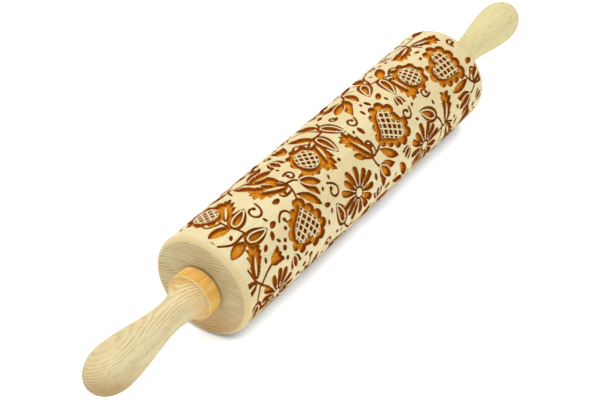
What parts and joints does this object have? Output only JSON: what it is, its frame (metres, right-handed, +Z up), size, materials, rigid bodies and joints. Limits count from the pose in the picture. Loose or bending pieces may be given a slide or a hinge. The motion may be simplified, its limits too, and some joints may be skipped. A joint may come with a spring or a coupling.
{
  "type": "textured pattern roller",
  "caption": "Engraved wooden pattern roller: a beech barrel cut with folk flowers turns on a hidden axle between two turned handles.",
  "frame": {"origin": "middle of the barrel on the axle's axis", "axes": "+X along the axle towards the right handle, +Z up with the barrel lying on a table, +Y away from the user"},
  "size_m": [0.415, 0.06, 0.06],
  "materials": {
    "engraved_beech": "fine sanded, unvarnished, laser-burnt recesses",
    "handle_beech": "fine sanded, unvarnished",
    "collar_wood": "burnished, warm honey tone",
    "axle_steel": "drawn bright steel",
    "bushing_nylon": "natural nylon",
    "washer_fibre": "dark pressed fibre",
    "insert_brass": "machined"
  },
  "bodies": {
    "grips": {"axle_rod": "axle_steel", "left_thrust_washer": "washer_fibre", "right_thrust_washer": "washer_fibre", "left_collar": "collar_wood", "right_collar": "collar_wood", "left_threaded_insert": "insert_brass", "right_threaded_insert": "insert_brass", "left_handle": "handle_beech", "right_handle": "handle_beech"},
    "barrel": {"barrel": "engraved_beech", "left_bushing": "bushing_nylon", "right_bushing": "bushing_nylon"}
  },
  "joints": [
    {"name": "barrel_spin", "type": "hinge", "parent": "grips", "child": "barrel", "pos_m": [0, 0, 0], "axis": [1, 0, 0], "continuous": true}
  ]
}
